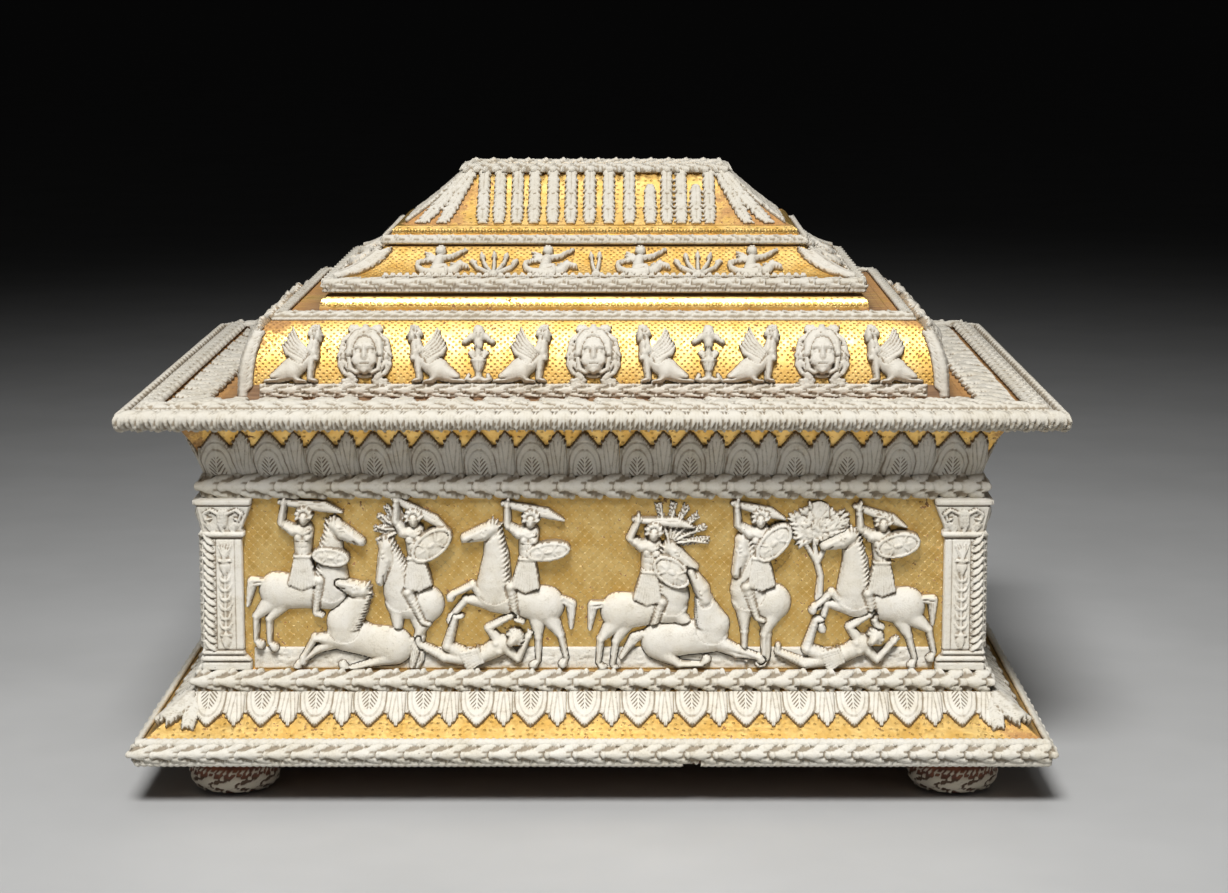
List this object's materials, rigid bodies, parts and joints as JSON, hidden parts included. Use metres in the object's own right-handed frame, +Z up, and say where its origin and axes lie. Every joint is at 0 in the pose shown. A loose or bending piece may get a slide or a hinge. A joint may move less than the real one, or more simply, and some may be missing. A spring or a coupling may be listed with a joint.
{
  "type": "casket",
  "caption": "Gilded wooden casket covered with moulded white paste reliefs: battle scenes on the box, leaf mouldings, masks and a stepped lid that lifts off.",
  "frame": {"origin": "on the ground under the middle of the casket", "axes": "+X towards the right end seen from the front, +Y towards the back, +Z up"},
  "size_m": [0.33, 0.262, 0.2203],
  "materials": {
    "gilded_wood": "gold leaf over orange-red bole on wood, punched with small rings, worn at edges and corners",
    "foot_bole": "turned wood with worn brown-red bole and a pale leaf garland",
    "moulding_paste": "matt warm white lead paste, cast in moulds, grey-brown dirt in the hollows",
    "relief_paste": "matt warm white lead paste, cast in moulds, dirt between the figures"
  },
  "bodies": {
    "root": {"base_board": "gilded_wood", "box_carcass": "gilded_wood", "lid_carcass": "gilded_wood", "foot_front_left": "foot_bole", "foot_front_right": "foot_bole", "foot_back_left": "foot_bole", "foot_back_right": "foot_bole", "base_lower_rope": "moulding_paste", "base_edge_garland": "moulding_paste", "base_upper_rope": "moulding_paste", "base_leaf_row": "moulding_paste", "box_foot_garland": "moulding_paste", "lid_foot_garland": "moulding_paste", "cornice_leaf_row": "moulding_paste", "ledge_leaf_roll": "moulding_paste", "ledge_top_castings": "moulding_paste", "ovolo_top_leaf_band": "moulding_paste", "frieze_foot_garland": "moulding_paste", "frieze_top_leaf_band": "moulding_paste", "pyramid_leaf_strips": "moulding_paste", "ground_strip_front": "relief_paste", "rider_1": "relief_paste", "rider_2": "relief_paste", "rider_3": "relief_paste", "rider_4": "relief_paste", "rider_5": "relief_paste", "rider_6": "relief_paste", "fallen_horse_1": "relief_paste", "fallen_horse_2": "relief_paste", "fallen_man_1": "relief_paste", "fallen_man_2": "relief_paste", "tree": "relief_paste", "battle_relief_back": "relief_paste", "battle_relief_left": "relief_paste", "battle_relief_right": "relief_paste", "pilaster_front_left_end": "relief_paste", "pilaster_front_right_end": "relief_paste", "pilaster_right_left_end": "relief_paste", "pilaster_right_right_end": "relief_paste", "pilaster_back_left_end": "relief_paste", "pilaster_back_right_end": "relief_paste", "pilaster_left_left_end": "relief_paste", "pilaster_left_right_end": "relief_paste", "ovolo_frieze_front": "relief_paste", "ovolo_frieze_right": "relief_paste", "ovolo_frieze_back": "relief_paste", "ovolo_frieze_left": "relief_paste", "ovolo_corner_leaf_front_left": "relief_paste", "ovolo_corner_leaf_front_right": "relief_paste", "ovolo_corner_leaf_back_left": "relief_paste", "ovolo_corner_leaf_back_right": "relief_paste", "putti_frieze_front": "relief_paste", "putti_frieze_right": "relief_paste", "putti_frieze_back": "relief_paste", "putti_frieze_left": "relief_paste", "frieze_corner_leaf_front_left": "relief_paste", "frieze_corner_leaf_front_right": "relief_paste", "frieze_corner_leaf_back_left": "relief_paste", "frieze_corner_leaf_back_right": "relief_paste"}
  },
  "joints": []
}
